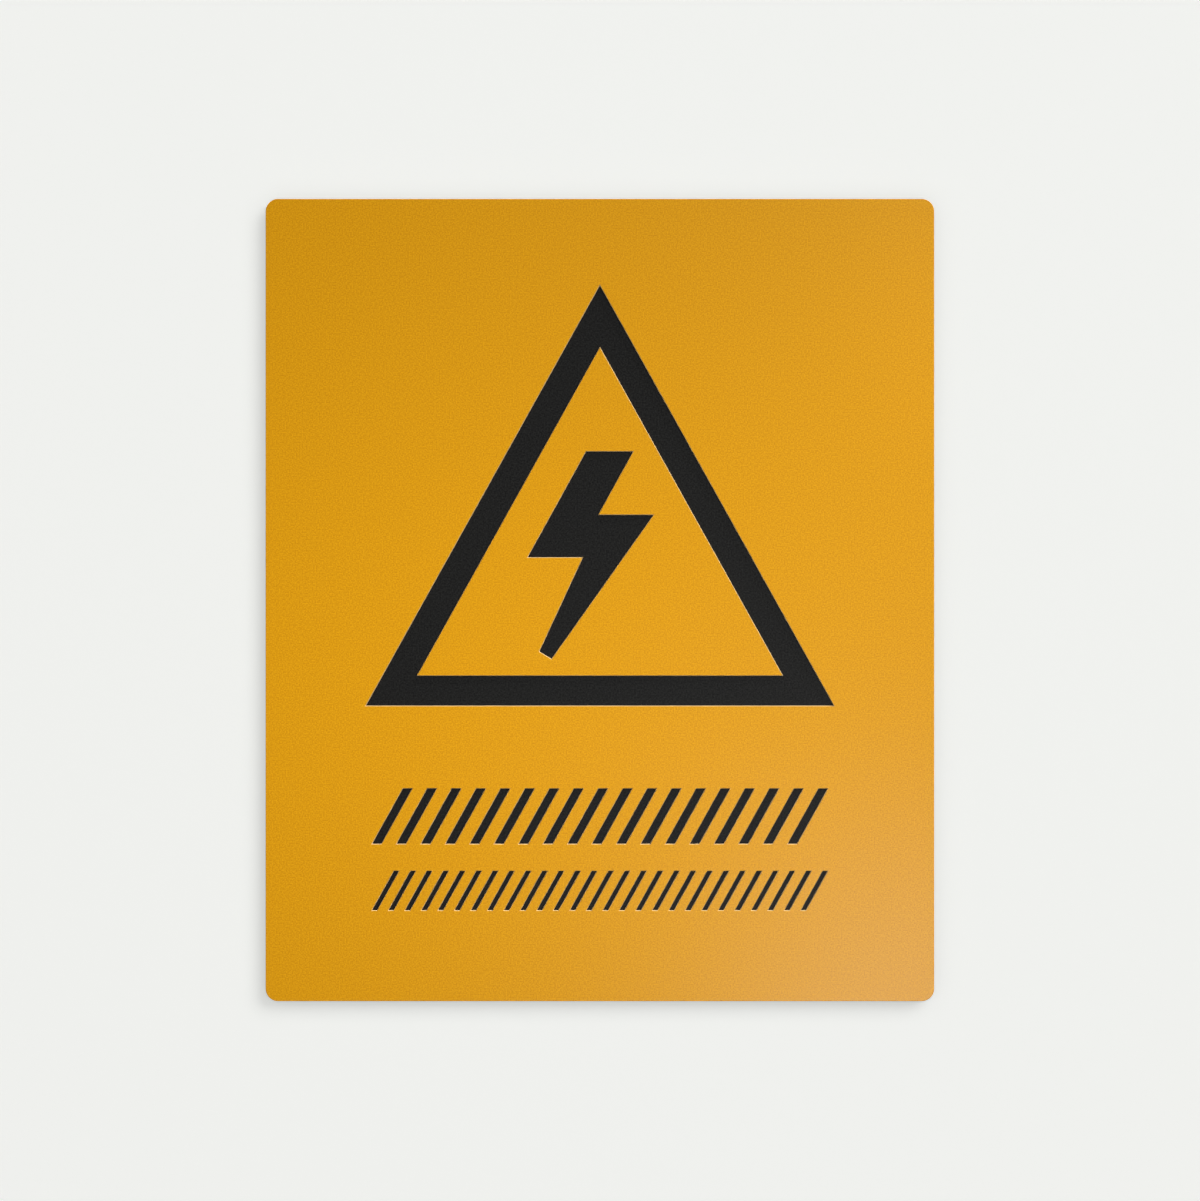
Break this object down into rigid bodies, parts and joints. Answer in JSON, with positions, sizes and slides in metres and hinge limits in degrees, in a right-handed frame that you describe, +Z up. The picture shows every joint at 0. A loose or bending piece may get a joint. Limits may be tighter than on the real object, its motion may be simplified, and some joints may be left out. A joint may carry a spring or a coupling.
{
  "type": "electrical hazard sign",
  "caption": "Flat rounded-corner warning plate in yellow over black, engraved with a black-bordered triangle round a lightning bolt and rows of slanted strokes below.",
  "frame": {"origin": "middle of the flat back face", "axes": "+Z up the sign, +Y out of the back towards the wall, the engraved front faces -Y, +X to the right as a reader faces the front"},
  "size_m": [0.15, 0.0032, 0.18],
  "materials": {
    "core_black": "black core sheet, finely tooled matte where engraved and sawn",
    "cap_yellow": "warm yellow cap sheet with a fine satin grain"
  },
  "bodies": {
    "root": {"black_core": "core_black", "yellow_field": "cap_yellow", "yellow_triangle": "cap_yellow"}
  },
  "joints": []
}
